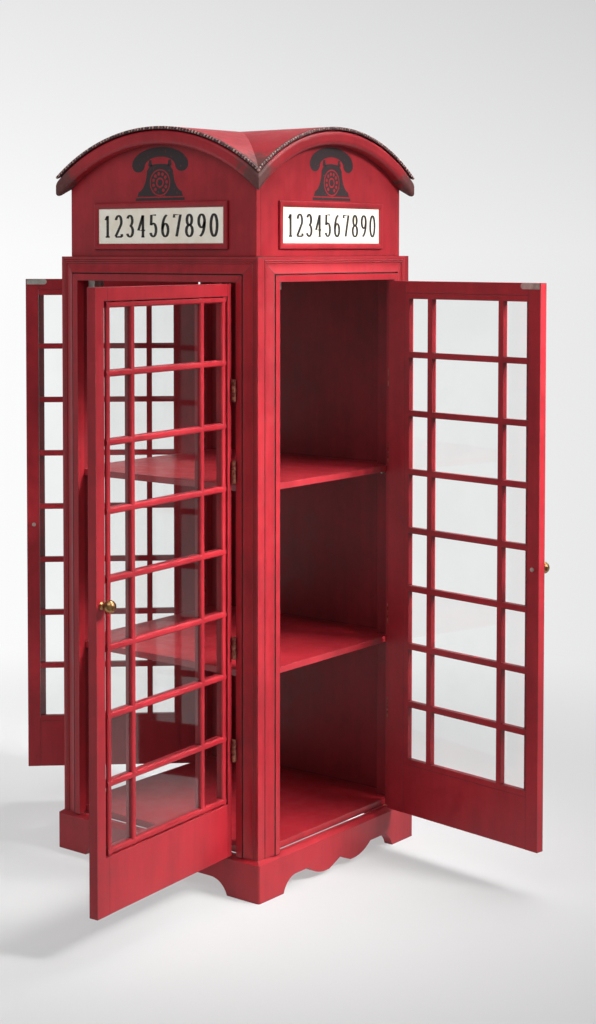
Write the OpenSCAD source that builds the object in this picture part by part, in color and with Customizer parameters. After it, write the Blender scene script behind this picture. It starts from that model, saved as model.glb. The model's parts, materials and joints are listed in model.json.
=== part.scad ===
// Display cabinet in the shape of a telephone booth: a square carcass on a scalloped plinth,
// closed at the back, with a glazed door on the front and on each side, under a vaulted roof.
// Origin: centre of the footprint on the floor. +Z up, front -Y, back +Y, right side +X.

/* [Overall] */
// Height of the top of the roof's beaded rim
overall_h = 1400; // [1390:1:1410]
// Width and depth of the carcass over its flat faces
body_w = 482; // [476:1:490]
// Height of the top of the carcass, where the roof box starts
body_top = 1159; // [1155:1:1165]

/* [Plinth] */
// Height of the plinth
base_h = 75; // [70:1:80]
// How far the plinth stands out past the carcass
base_proud = 9; // [7:0.5:12]
// Thickness of the plinth's aprons
apron_t = 18; // [15:1:20]
// Height of the shallow arch beside each foot
apron_arch_h = 28; // [24:1:32]

/* [Carcass] */
// Thickness of the face frames and the back board
board_t = 12.5; // [12:0.5:14]
// Width of the front frame's stiles and heads
member_w = 46; // [45:0.5:47]
// Width and depth of each corner post
post_w = 30.5; // [28:0.5:32]
// Thickness of the shelves, the floor board and the top board
shelf_t = 12; // [10:0.5:14]
// Height of the lower shelf's top face
lower_shelf_z = 411; // [380:1:440]
// Height of the upper shelf's top face
upper_shelf_z = 748; // [700:1:780]

/* [Doors] */
// Thickness of a door
door_t = 17; // [16:0.5:17]
// Gap round a door, and the thickness of both hinge leaves with their clearance
door_gap = 1.5; // [1.5:0.1:2]
// Width of the front door's free stile
front_free_stile_w = 32.4; // [32.4:0.2:36]
// Width of the front door's hinge stile
front_hinge_stile_w = 11; // [11:0.5:14]
// Width of a side door's free stile
side_free_stile_w = 26.4; // [26.4:0.2:30]
// Width of a side door's hinge stile
side_hinge_stile_w = 41.2; // [38:0.2:44]
// Height of a door's bottom rail, up to the glazing
bottom_rail_h = 97; // [90:1:110]
// Height of a door's top rail, down to the glazing
top_rail_h = 22.7; // [20:0.1:26]
// Angle at which the front door stands open
front_open = 94.5; // [0:0.5:165]
// Angle at which the right door stands open
right_open = 82; // [0:0.5:165]
// Angle at which the left door stands open
left_open = 46.6; // [0:0.1:165]

/* [Glazing] */
// Rows of panes in a door
pane_rows = 8; // [5:1:10]
// Width of a glazing bar
bar_w = 11.2; // [8:0.2:12]
// Depth of a glazing bar
bar_d = 11.5; // [8:0.5:11.5]
// Share of the panes' width taken up by each narrow column
narrow_share = 0.184; // [0.15:0.002:0.22]
// Thickness of the glass
glass_t = 3; // [2.5:0.1:3]

/* [Hardware] */
// Radius of the ball knobs
knob_r = 11; // [9:0.5:13]
// Height of the knobs
knob_z = 593; // [560:1:640]
// Length of a butt hinge
hinge_l = 40; // [34:1:50]
// Radius of a hinge pin
pin_r = 1.5; // [1.2:0.1:1.8]

/* [Roof] */
// Outer radius of the beaded rim
rim_r = 404.5; // [400:0.5:410]
// Height of an arc fascia, measured along its radius
fascia_h = 27; // [22:0.5:32]
// How far the roof box stands back from the carcass
box_setback = 13.3; // [11:0.1:15]
// How far the rim reaches from the middle of the cabinet
rim_reach = 248.7; // [246:0.1:250]
// Width of the sign frames
sign_w = 328; // [300:1:340]
// Height of the sign frames
sign_h = 88; // [80:1:92]

/* [Hidden] */
$fn = 64;

// Colours
RED = [0.62, 0.10, 0.13];
RED_DEEP = [0.50, 0.07, 0.10];
BLACK_BEAD = [0.16, 0.11, 0.11];
CREAM = [0.92, 0.90, 0.85];
BRASS = [0.55, 0.43, 0.24];
STEEL = [0.62, 0.63, 0.60];
TAN_WOOD = [0.62, 0.47, 0.32];
CLEAR = [0.85, 0.90, 0.90, 0.3];

// The carcass
half = body_w / 2;
inner = half - board_t;
base_half = half + base_proud;
post_edge = inner - post_w;
eps = 0.02;

// Moulded face frames: widths measured inward from a member's outer edge
side_member_w = member_w - 0.5;
flat_w = 6;
reed_r = 1.75;
cove_w = 18;
groove_w = 2;
groove_d = 2.2;
band_proud = 5.3;
frame_face = half + band_proud;

// Doors: the pin of every hinge stands in front of the door's outer face
pin_proud = 5;
front_opening = half - member_w;
side_opening = inner - side_member_w;
front_door_w = 2 * (front_opening - door_gap);
side_door_w = 2 * (side_opening - door_gap);
door_z0 = base_h + 2;
door_z1 = body_top - member_w - 2;
glaze_z0 = door_z0 + bottom_rail_h;
glaze_z1 = door_z1 - top_rail_h;
stile_face_w = 22.4;
channel_max_w = 10;
channel_d = 8;
bar_setback = 2.5;
joint_gap = 0.06;
bar_round = 4.5;

// Hinges
hinge_heights = [920, 774, 456, 270];
knuckle_r = 4.2;
leaf_t = 0.6;
leaf_depth = 14;
leaf_notch = 0.4;
knuckle_gap = 0.2;
running_clearance = 0.05;
screw_head_r = 2.4;
screw_r = 1.2;
screw_l = 9;
screw_point = 3;
screw_spread = 24;
screw_clear = 0.05;

// Knobs, strikes and catches
knob_inset = 14.5;
knob_neck = 7;
knob_neck_r = 4;
rosette_r = 7;
rosette_t = 1.5;
bolt_r = 2;
bolt_head_r = 4;
bolt_head_t = 1.6;
strike_l = 42;
strike_w = 11.5;
strike_t = 1;
strike_inset = 2;
catch_clear = 0.4;
catch_w = 16;
catch_h = 25;
catch_d = 18;

// Shelf pins
shelf_pin_r = 2.5;
shelf_pin_l = 16;
shelf_pin_in = 9;

// Roof
arc_z = overall_h - rim_r;
strip_h = 7;
strip_t = 4;
panel_t = 6;
fascia_top_r = rim_r - strip_h;
fascia_r = fascia_top_r - fascia_h;
panel_top_r = rim_r - 0.5;
panel_low_r = panel_top_r - panel_t;
panel_reach = rim_reach - strip_t - 0.2;
box_half = half - box_setback;
box_t = 12;
fascia_round = 9;
mitre_gap = 0.1;
sign_z = body_top + 13;
sign_proud = 5;
sign_border = 11;
plate_t = 2;

// ---------- placing helpers ----------

// Turns something built on the front face onto a face: 0 front, 1 right, 2 back, 3 left
module on_face(index) {
    rotate([0, 0, 90 * index]) children();
}

// Box from its lowest corner to its highest corner
module block(low, high) {
    translate(low) cube([high.x - low.x, high.y - low.y, high.z - low.z]);
}

// Places something built round a hinge pin at the pin of a door that is turned by an angle
module at_pin(side, angle = 0) {
    if (side == "front")
        translate([front_opening - door_gap / 2, -frame_face - pin_proud, 0])
            rotate([0, 0, angle]) children();
    if (side == "right")
        on_face(1) translate([side_opening - door_gap / 2, -frame_face - pin_proud, 0])
            rotate([0, 0, angle]) children();
    if (side == "left")
        mirror([1, 0, 0]) at_pin("right", angle) children();
}

// Places a door's piece, built round its pin with the door lying along -X
module on_door(side) {
    if (side == "front") at_pin("front", front_open) children();
    if (side == "right") at_pin("right", right_open) children();
    if (side == "left") at_pin("left", left_open) children();
}

function door_w(side) = side == "front" ? front_door_w : side_door_w;

// ---------- plinth ----------

// Half of the scalloped opening under an apron, for distances u > 0 from its middle
module apron_cut_half() {
    foot_arc_r = 40;
    foot_arc_u = 138;
    drop_r = 90;
    drop_u = 45;
    low_z = 8.5;
    union() {
        difference() {
            union() {
                translate([drop_u, -1]) square([foot_arc_u - drop_u, apron_arch_h + 1]);
                translate([foot_arc_u, apron_arch_h - foot_arc_r]) circle(r = foot_arc_r, $fn = 96);
            }
            translate([drop_u, low_z + drop_r]) circle(r = drop_r, $fn = 128);
        }
        translate([-1, -1]) square([drop_u + 1 + eps, low_z + 1]);
        polygon([[-1, 0], [34, low_z - eps], [0, 22], [-1, 22]]);
    }
}

// Apron on the front face: outline in X and Z, chamfered on top and mitred at both ends
module apron() {
    chamfer_h = 6.5;
    difference() {
        rotate([90, 0, 0]) translate([0, 0, base_half - apron_t])
            linear_extrude(apron_t) difference() {
                translate([-base_half, 0]) square([2 * base_half, base_h]);
                apron_cut_half();
                mirror([1, 0]) apron_cut_half();
            }
        // chamfer along the top edge
        rotate([90, 0, 90]) translate([0, 0, -base_half - 1])
            linear_extrude(2 * base_half + 2)
                polygon([[-base_half - 1, base_h - chamfer_h], [-base_half, base_h - chamfer_h],
                         [-half, base_h], [-half, base_h + 1], [-base_half - 1, base_h + 1]]);
        // mitred ends
        for (s = [-1, 1])
            translate([0, 0, -1]) linear_extrude(base_h + 2)
                polygon([[-s * mitre_gap / 2, 0], [s * (base_half + 1), -base_half - 1 - mitre_gap / 2],
                         [s * (base_half + 1), 0]]);
        // rounded outer corners
        for (s = [-1, 1]) corner_round(s);
    }
}

// What rounding a vertical plinth corner takes away
module corner_round(s) {
    r = 5;
    difference() {
        block([min(s * (base_half - r), s * (base_half + 1)), -base_half - 1, -1],
              [max(s * (base_half - r), s * (base_half + 1)), -base_half + r, base_h + 1]);
        translate([s * (base_half - r), -base_half + r, -2]) cylinder(r = r, h = base_h + 4);
    }
}

module base_front_apron() { color(RED) on_face(0) apron(); }
module base_right_apron() { color(RED) on_face(1) apron(); }
module base_back_apron() { color(RED) on_face(2) apron(); }
module base_left_apron() { color(RED) on_face(3) apron(); }

module base_corner_blocks() {
    leg = 40;
    low = 2;
    edge = base_half - apron_t - 0.1;
    color(TAN_WOOD) for (i = [0 : 3])
        on_face(i) translate([edge, -edge, low])
            linear_extrude(base_h - low - 0.1) polygon([[0, 0], [-leg, 0], [0, leg]]);
}

// ---------- carcass ----------

// Square board between the face frames, notched round the corner posts where it meets them
module notched_board(z_top, thick, notch) {
    difference() {
        block([-inner, -inner, z_top - thick], [inner, inner, z_top]);
        for (i = [0 : 3])
            on_face(i) translate([post_edge - notch, -inner - 1, z_top - thick - 1])
                cube([post_w + notch + 1, post_w + notch + 1, thick + 2]);
    }
}

module floor_board() {
    color(RED_DEEP) notched_board(base_h + board_t, board_t - eps, 0.2);
}

module lower_shelf() {
    color(RED_DEEP) notched_board(lower_shelf_z, shelf_t, 0.3);
}

module upper_shelf() {
    color(RED_DEEP) notched_board(upper_shelf_z, shelf_t, 0.3);
}

module top_board() {
    color(RED_DEEP) notched_board(body_top, shelf_t, 0.2);
}

module corner_posts() {
    color(RED_DEEP) for (i = [0 : 3])
        on_face(i) block([post_edge, -inner, base_h], [inner, -post_edge, body_top]);
}

// One pin under each corner of a shelf, driven into the corner post
module shelf_pins() {
    color(STEEL) for (z = [lower_shelf_z, upper_shelf_z], i = [0 : 3])
        on_face(i) translate([post_edge + shelf_pin_l - shelf_pin_in, -inner + post_w / 2,
                              z - shelf_t - shelf_pin_r])
            rotate([0, -90, 0]) cylinder(r = shelf_pin_r, h = shelf_pin_l, $fn = 32);
}

module back_panel() {
    color(RED_DEEP) block([-half, inner, base_h], [half, half, body_top]);
}

// Section of a face frame member: x runs inward from its outer edge, y out of its back face
module member_section(width) {
    reed_x = flat_w + 2 * reed_r;
    cove_x = reed_x + 2 * reed_r;
    cove_end = cove_x + cove_w;
    band_x = cove_end + groove_w;
    face = board_t;
    cove_rise = band_proud - 1;
    difference() {
        union() {
            polygon([[0, 0], [0, face], [flat_w, face], [flat_w, face - reed_r / 2],
                     [cove_x, face - reed_r / 2],
                     for (i = [0 : 8]) [cove_x + cove_w * i / 8,
                                        face - reed_r / 2 + (cove_rise + reed_r / 2) * pow(i / 8, 1.7)],
                     [cove_end, face - groove_d], [band_x, face - groove_d],
                     [band_x, face + band_proud], [width, face + band_proud], [width, 0]]);
            for (x = [flat_w + reed_r, reed_x + reed_r])
                translate([x, face - reed_r / 2]) circle(r = reed_r, $fn = 32);
        }
        // the groove between the reeds and the flat
        translate([flat_w - 0.5, face - reed_r / 2]) square([0.5, reed_r]);
    }
}

// Left-hand stile of a face frame that spans +-reach, mitred at the top
module frame_stile(reach, width) {
    intersection() {
        translate([-reach, -inner, base_h]) linear_extrude(body_top - base_h)
            mirror([0, 1]) member_section(width);
        rotate([90, 0, 0]) linear_extrude(frame_face + 1)
            polygon([[-reach - 1, base_h - 1], [-reach - 1, body_top + 1 - joint_gap],
                     [-reach + width + 1, body_top - width - 1 - joint_gap],
                     [-reach + width + 1, base_h - 1]]);
    }
}

// Head of a face frame that spans +-reach, mitred at both ends
module frame_head(reach, width) {
    intersection() {
        translate([-reach, -inner, body_top]) rotate([0, 90, 0]) linear_extrude(2 * reach)
            mirror([0, 1]) member_section(width);
        rotate([90, 0, 0]) linear_extrude(frame_face + 1)
            polygon([[-reach - 1, body_top + 1], [reach + 1, body_top + 1],
                     [reach - width - 1, body_top - width - 1], [-reach + width + 1, body_top - width - 1]]);
    }
}

module frame_stiles(reach, width) {
    frame_stile(reach, width);
    mirror([1, 0, 0]) frame_stile(reach, width);
}

module front_frame_stiles() {
    color(RED) frame_stiles(half, member_w);
}

module front_frame_head() {
    color(RED) frame_head(half, member_w);
}

module right_frame_stiles() {
    color(RED) on_face(1) frame_stiles(inner - eps, side_member_w - eps);
}

module left_frame_stiles() {
    color(RED) on_face(3) frame_stiles(inner - eps, side_member_w - eps);
}

module side_frame_heads() {
    color(RED) for (i = [1, 3]) on_face(i) frame_head(inner - eps, side_member_w);
}

// ---------- roof ----------

// Cylinder lying along Y with its axis at the centre of the roof's arcs
module barrel(radius, from_y, to_y) {
    translate([0, to_y, arc_z]) rotate([90, 0, 0])
        cylinder(r = radius, h = to_y - from_y, $fn = 256);
}

// The quarter of the plan that belongs to the front face, up to the diagonals
module front_wedge(reach) {
    translate([0, 0, body_top + 1]) linear_extrude(overall_h)
        polygon([[0, -mitre_gap], [-reach, -reach - mitre_gap], [reach, -reach - mitre_gap]]);
}

module tympanum(side_reach) {
    intersection() {
        barrel(panel_low_r - 0.1, -box_half, -box_half + box_t);
        block([-side_reach, -box_half - 1, body_top], [side_reach, -box_half + box_t + 1, overall_h]);
    }
}

// The side boards stand between the front and the back board
module front_tympanum() { color(RED) on_face(0) tympanum(box_half); }
module back_tympanum() { color(RED) on_face(2) tympanum(box_half); }
module right_tympanum() { color(RED) on_face(1) tympanum(box_half - box_t - 0.1); }
module left_tympanum() { color(RED) on_face(3) tympanum(box_half - box_t - 0.1); }

// Quarter of the vault: a strip of barrel, mitred along both valleys
module roof_panel() {
    intersection() {
        difference() {
            barrel(panel_top_r, -panel_reach, 0);
            barrel(panel_low_r, -panel_reach - 1, 1);
        }
        front_wedge(panel_reach + 1);
    }
}

module roof_panels() {
    color(RED) for (i = [0 : 3]) on_face(i) roof_panel();
}

// Section of a fascia: x is the radius, y runs out of the face
module fascia_section() {
    depth = rim_reach - box_half;
    translate([fascia_r, 0]) {
        square([fascia_h, depth - fascia_round]);
        translate([fascia_round, 0]) square([fascia_h - 2 * fascia_round, depth]);
        for (x = [fascia_round, fascia_h - fascia_round])
            translate([x, depth - fascia_round]) circle(r = fascia_round, $fn = 48);
    }
}

// Ring of a section about the roof's arc centre, facing the front, from a given depth outwards
module arc_ring(from_y) {
    translate([0, from_y, arc_z]) rotate([90, 0, 0]) rotate_extrude($fn = 256) children();
}

module fascia() {
    intersection() {
        arc_ring(-box_half - 0.05) fascia_section();
        front_wedge(rim_reach + 1);
    }
}

module front_roof_fascia() { color(RED) on_face(0) fascia(); }
module right_roof_fascia() { color(RED) on_face(1) fascia(); }
module back_roof_fascia() { color(RED) on_face(2) fascia(); }
module left_roof_fascia() { color(RED) on_face(3) fascia(); }

module roof_bead_strips() {
    color(BLACK_BEAD) for (i = [0 : 3]) on_face(i) intersection() {
        arc_ring(-rim_reach + strip_t) translate([fascia_top_r + 0.1, 0]) square([strip_h - 0.1, strip_t]);
        front_wedge(rim_reach + 1);
    }
}

// ---------- signs ----------

// Section of a sign frame: x runs inward from its outer edge, y out of the board
module sign_section() {
    polygon([[0, 0], [0, sign_proud - 1.5], [1.5, sign_proud], [sign_border - 4, sign_proud],
             [sign_border, plate_t + 0.6], [sign_border, 0]]);
}

module sign_side(length) {
    intersection() {
        translate([-length / 2, -box_half, 0]) rotate([0, 90, 0]) linear_extrude(length)
            mirror([0, 1]) sign_section();
        rotate([90, 0, 0]) linear_extrude(2 * half)
            polygon([[-length / 2, 0], [length / 2, 0], [0, -length / 2]]);
    }
}

module sign_frame() {
    mid_z = sign_z + sign_h / 2;
    for (flip = [0, 1])
        translate([0, 0, mid_z]) mirror([0, 0, flip]) translate([0, 0, sign_h / 2]) sign_side(sign_w);
    for (flip = [0, 1])
        translate([0, 0, mid_z]) mirror([flip, 0, 0]) translate([sign_w / 2, 0, 0])
            rotate([0, 90, 0]) sign_side(sign_h);
}

module sign_frames() {
    color(RED) for (i = [0, 1, 3]) on_face(i) sign_frame();
}

module sign_plates() {
    color(CREAM) for (i = [0, 1, 3]) on_face(i)
        block([-sign_w / 2 + sign_border + 0.1, -box_half - plate_t, sign_z + sign_border + 0.1],
              [sign_w / 2 - sign_border - 0.1, -box_half, sign_z + sign_h - sign_border - 0.1]);
}

// ---------- doors, built round the pin with the door lying along -X ----------

door_edge = -door_gap / 2;
door_face = pin_proud;
door_back = pin_proud + door_t;

function free_stile_w(side) = side == "front" ? front_free_stile_w : side_free_stile_w;
function hinge_stile_w(side) = side == "front" ? front_hinge_stile_w : side_hinge_stile_w;

// Width of the channel between a stile's face and the glazing bars
function channel_w(stile) = min(channel_max_w, max(0, stile - stile_face_w));

// Stile with its outer edge at x = 0, its outer face at y = 0 and the glazing beyond x = width
module door_stile(width) {
    channel = channel_w(width);
    difference() {
        block([0, 0, door_z0], [width, door_t, door_z1]);
        if (channel > 0)
            block([width - channel, -1, glaze_z0], [width + 1, channel_d, glaze_z1]);
    }
}

module door_stiles(side) {
    knob_x = door_edge - door_w(side) + knob_inset;
    color(RED) on_door(side) difference() {
        union() {
            translate([door_edge, door_face, 0]) mirror([1, 0, 0]) door_stile(hinge_stile_w(side));
            translate([door_edge - door_w(side), door_face, 0]) door_stile(free_stile_w(side));
        }
        translate([knob_x, door_back + 1, knob_z]) rotate([90, 0, 0])
            cylinder(r = bolt_r + 0.05, h = door_t + 2, $fn = 32);
    }
}

module door_rails(side) {
    free_x = door_edge - door_w(side) + free_stile_w(side) + joint_gap;
    hinge_x = door_edge - hinge_stile_w(side) - joint_gap;
    color(RED) on_door(side) {
        block([free_x, door_face, glaze_z1], [hinge_x, door_back, door_z1]);
        block([free_x, door_face, door_z0], [hinge_x, door_back, glaze_z0]);
    }
}

// Section of a glazing bar, centred on x, with its rounded front at y = 0
module bar_section() {
    translate([-bar_w / 2, bar_round]) square([bar_w, bar_d - bar_round]);
    translate([-bar_w / 2 + bar_round, 0]) square([bar_w - 2 * bar_round, bar_round + eps]);
    for (s = [-1, 1])
        translate([s * (bar_w / 2 - bar_round), bar_round]) circle(r = bar_round, $fn = 32);
}

// Centres of the four upright bars, as distances from the pin towards the free edge
function upright_centres(side) =
    let (
        first = -door_edge + hinge_stile_w(side) + joint_gap + bar_w / 2,
        last = -door_edge + door_w(side) - free_stile_w(side) - joint_gap - bar_w / 2,
        narrow = narrow_share * (last - first - 3 * bar_w) + bar_w
    )
    [first, first + narrow, last - narrow, last];

function bar_z(row) =
    let (low = glaze_z0 + joint_gap + bar_w / 2, high = glaze_z1 - joint_gap - bar_w / 2)
    low + (high - low) * row / pane_rows;

// Upright bars run through; the cross bars are cut between them
module door_lattice(side) {
    ups = upright_centres(side);
    front = door_face + bar_setback;
    color(RED) on_door(side) {
        for (u = ups)
            translate([-u, front, glaze_z0 + joint_gap])
                linear_extrude(glaze_z1 - glaze_z0 - 2 * joint_gap) bar_section();
        for (row = [0 : pane_rows], col = [0 : 2])
            translate([-ups[col] - bar_w / 2 - joint_gap, front, bar_z(row)])
                rotate([0, -90, 0])
                    linear_extrude(ups[col + 1] - ups[col] - bar_w - 2 * joint_gap) bar_section();
    }
}

module door_glass(side) {
    back = door_back - joint_gap;
    color(CLEAR) on_door(side)
        block([door_edge - door_w(side) + free_stile_w(side) + joint_gap, back - glass_t + 2 * joint_gap,
               glaze_z0 + joint_gap],
              [door_edge - hinge_stile_w(side) - joint_gap, back, glaze_z1 - joint_gap]);
}

// Ball knob on a small neck and rosette, bored for its bolt
module door_knob(side) {
    knob_x = door_edge - door_w(side) + knob_inset;
    sink = sqrt(knob_r * knob_r - knob_neck_r * knob_neck_r);
    color(BRASS) on_door(side) translate([knob_x, door_face, knob_z]) rotate([90, 0, 0])
        difference() {
            rotate_extrude($fn = 96) intersection() {
                square([knob_r + 1, knob_neck + sink + knob_r + 1]);
                union() {
                    square([rosette_r, rosette_t]);
                    square([knob_neck_r, knob_neck + 2]);
                    translate([0, knob_neck + sink - 1]) circle(r = knob_r, $fn = 96);
                }
            }
            translate([0, 0, -1]) cylinder(r = bolt_r, h = knob_neck + 5, $fn = 32);
        }
}

module door_knob_bolt(side) {
    knob_x = door_edge - door_w(side) + knob_inset;
    color(STEEL) on_door(side) translate([knob_x, door_back, knob_z]) rotate([90, 0, 0]) {
        cylinder(r = bolt_r, h = door_t + knob_neck + 2, $fn = 32);
        translate([0, 0, -bolt_head_t]) cylinder(r = bolt_head_r, h = bolt_head_t, $fn = 48);
    }
}

// Flat plate with one round end, on the inner face at the top of the free stile
module door_strike_plate(side) {
    free_x = door_edge - door_w(side) + strike_inset;
    r = strike_w / 2;
    color(STEEL) on_door(side)
        translate([free_x, door_back + strike_t, door_z1 - r]) rotate([90, 0, 0])
            linear_extrude(strike_t) difference() {
                union() {
                    translate([0, -r]) square([strike_l - r, strike_w]);
                    translate([strike_l - r, 0]) circle(r = r, $fn = 48);
                }
                for (x = [8, strike_l - 8]) translate([x, 0]) circle(r = 1.6, $fn = 32);
            }
}

// ---------- hinges ----------

knuckle_l = hinge_l / 3;

// Knuckles [from, to] along the hinge for the frame leaf (two ends) and the door leaf (middle)
frame_knuckles = [[0, knuckle_l - knuckle_gap], [2 * knuckle_l + knuckle_gap, hinge_l]];
door_knuckles = [[knuckle_l, 2 * knuckle_l]];

// Leaf with its knuckles round the pin; the leaf stands to one side of the pin's mid plane
module hinge_leaf(knuckles, leaf_side, bore_r) {
    plate_x = leaf_side * (door_gap / 2 - leaf_t / 2);
    leaf_start = knuckle_r + leaf_notch;
    leaf_end = pin_proud + leaf_depth;
    difference() {
        union() {
            block([plate_x - leaf_t / 2, leaf_start, 0], [plate_x + leaf_t / 2, leaf_end, hinge_l]);
            for (k = knuckles) {
                translate([0, 0, k[0]]) cylinder(r = knuckle_r, h = k[1] - k[0]);
                block([plate_x - leaf_t / 2, bore_r + 1, k[0]],
                      [plate_x + leaf_t / 2, leaf_start + 1, k[1]]);
            }
        }
        translate([0, 0, -1]) cylinder(r = bore_r, h = hinge_l + 2, $fn = 48);
        hinge_screw_holes(leaf_side);
    }
}

// The two screw places of a leaf, with +Z pointing into the wood behind it
module each_hinge_screw(leaf_side) {
    for (dz = [-0.5, 0.5])
        translate([leaf_side * (door_gap / 2 - leaf_t), pin_proud + leaf_depth / 2 + 2,
                   hinge_l / 2 + dz * screw_spread])
            rotate([0, leaf_side * 90, 0]) children();
}

module hinge_screw_holes(leaf_side) {
    each_hinge_screw(leaf_side) translate([0, 0, -1])
        cylinder(r = screw_head_r + screw_clear, h = leaf_t + 2, $fn = 32);
}

// Flush-headed wood screws through a leaf
module hinge_screws(leaf_side) {
    each_hinge_screw(leaf_side) {
        cylinder(r = screw_head_r, h = leaf_t, $fn = 32);
        cylinder(r = screw_r, h = screw_l - screw_point, $fn = 32);
        translate([0, 0, screw_l - screw_point])
            cylinder(r1 = screw_r, r2 = 0, h = screw_point, $fn = 32);
    }
}

module each_hinge() {
    for (z = hinge_heights) translate([0, 0, z - hinge_l / 2]) children();
}

module frame_hinge_leaves() {
    color(BRASS) for (side = ["front", "right", "left"])
        at_pin(side) each_hinge() hinge_leaf(frame_knuckles, 1, pin_r);
}

module frame_hinge_screws() {
    color(BRASS) for (side = ["front", "right", "left"])
        at_pin(side) each_hinge() hinge_screws(1);
}

module hinge_pins() {
    color(BRASS) for (side = ["front", "right", "left"])
        at_pin(side) each_hinge() cylinder(r = pin_r, h = hinge_l, $fn = 48);
}

module door_hinge_leaves(side) {
    color(BRASS) on_door(side) each_hinge()
        hinge_leaf(door_knuckles, -1, pin_r + running_clearance);
}

module door_hinge_screws(side) {
    color(BRASS) on_door(side) each_hinge() hinge_screws(-1);
}

// ---------- catches ----------

// Catch body under the head, behind the strike plate of a closed door
module door_catch(opening) {
    face = -inner + catch_clear;
    x = -opening + 20;
    head_low = body_top - member_w;
    difference() {
        block([x - catch_w / 2, -inner, door_z1 - strike_w],
              [x + catch_w / 2, -inner + catch_d, door_z1 - strike_w + catch_h]);
        block([x - catch_w / 2 - 1, -inner - 1, door_z1 - strike_w - 1],
              [x + catch_w / 2 + 1, face + 0.3, head_low + 0.2]);
    }
}

module door_catches() {
    color(STEEL) {
        on_face(0) door_catch(front_opening);
        on_face(1) door_catch(side_opening);
        mirror([1, 0, 0]) on_face(1) door_catch(side_opening);
    }
}

// ---------- nodes ----------

base_front_apron();
base_back_apron();
base_left_apron();
base_right_apron();
base_corner_blocks();
floor_board();
lower_shelf();
upper_shelf();
shelf_pins();
back_panel();
corner_posts();
front_frame_stiles();
front_frame_head();
left_frame_stiles();
right_frame_stiles();
side_frame_heads();
top_board();
front_tympanum();
back_tympanum();
left_tympanum();
right_tympanum();
roof_panels();
front_roof_fascia();
back_roof_fascia();
left_roof_fascia();
right_roof_fascia();
roof_bead_strips();
sign_frames();
sign_plates();
door_catches();
frame_hinge_leaves();
frame_hinge_screws();
hinge_pins();

for (side = ["front", "right", "left"]) {
    door_stiles(side);
    door_rails(side);
    door_lattice(side);
    door_glass(side);
    door_knob(side);
    door_knob_bolt(side);
    door_strike_plate(side);
    door_hinge_leaves(side);
    door_hinge_screws(side);
}
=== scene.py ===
"""Looks, camera and light for a red display cabinet in the shape of a telephone booth."""
import json
import math

import bmesh
import bpy
from mathutils import Matrix, Vector


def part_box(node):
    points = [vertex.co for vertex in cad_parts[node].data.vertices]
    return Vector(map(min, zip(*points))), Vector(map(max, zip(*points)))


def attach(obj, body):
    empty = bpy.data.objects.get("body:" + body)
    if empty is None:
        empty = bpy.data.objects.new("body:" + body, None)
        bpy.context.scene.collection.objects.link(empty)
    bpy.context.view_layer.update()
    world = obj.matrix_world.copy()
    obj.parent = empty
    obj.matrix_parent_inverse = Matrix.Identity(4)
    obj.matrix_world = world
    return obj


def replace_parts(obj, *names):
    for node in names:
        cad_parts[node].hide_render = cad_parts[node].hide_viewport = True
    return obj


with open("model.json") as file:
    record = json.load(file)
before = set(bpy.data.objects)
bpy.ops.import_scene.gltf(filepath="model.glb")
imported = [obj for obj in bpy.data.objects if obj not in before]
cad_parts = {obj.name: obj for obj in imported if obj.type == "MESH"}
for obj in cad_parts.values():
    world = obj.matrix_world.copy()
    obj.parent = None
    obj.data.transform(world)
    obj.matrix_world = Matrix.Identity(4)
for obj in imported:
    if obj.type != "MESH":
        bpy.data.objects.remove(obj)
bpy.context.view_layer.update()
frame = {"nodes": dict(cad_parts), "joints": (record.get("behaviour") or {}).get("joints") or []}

MM = 0.001
SIDES = ("front", "right", "left")
RIM_FACES = {"front": 0, "right": 1, "back": 2, "left": 3}
SIGN_FACES = {"front": 0, "right": 1, "left": 3}
NODES = frame["nodes"]
UP = Vector((0, 0, 1))
BOARD_SMOOTH, SMALL_SMOOTH, BEAD_SMOOTH = 34, 40, 50


# ---------- small helpers ----------

def srgb(red, green, blue):
    """Linear colour, with alpha 1, from 0-255 display values."""
    def one(value):
        c = value / 255
        return c / 12.92 if c <= 0.04045 else ((c + 0.055) / 1.055) ** 2.4
    return (one(red), one(green), one(blue), 1.0)


def face_matrix(index):
    """Turns something built on the front face onto face 0 front, 1 right, 2 back or 3 left."""
    return Matrix.Rotation(math.radians(90 * index), 4, "Z")


def add_object(name, mesh, material, body):
    """A finished piece in the scene, riding on its body."""
    obj = bpy.data.objects.new(name, mesh)
    bpy.context.scene.collection.objects.link(obj)
    mesh.materials.clear()
    mesh.materials.append(material)
    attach(obj, body)
    return obj


def smooth(mesh, angle):
    """Smooth shading, except over edges sharper than the angle in degrees."""
    mesh.polygons.foreach_set("use_smooth", [True] * len(mesh.polygons))
    mesh.set_sharp_from_angle(angle=math.radians(angle))
    return mesh


def mesh_from(bm, name):
    """Turns a bmesh into a mesh whose faces all point outward."""
    bmesh.ops.recalc_face_normals(bm, faces=bm.faces)
    mesh = bpy.data.meshes.new(name)
    bm.to_mesh(mesh)
    bm.free()
    return mesh


def applied(obj):
    """The object's mesh with its modifiers applied."""
    depsgraph = bpy.context.evaluated_depsgraph_get()
    return bpy.data.meshes.new_from_object(obj.evaluated_get(depsgraph))


# ---------- material building ----------

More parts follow.
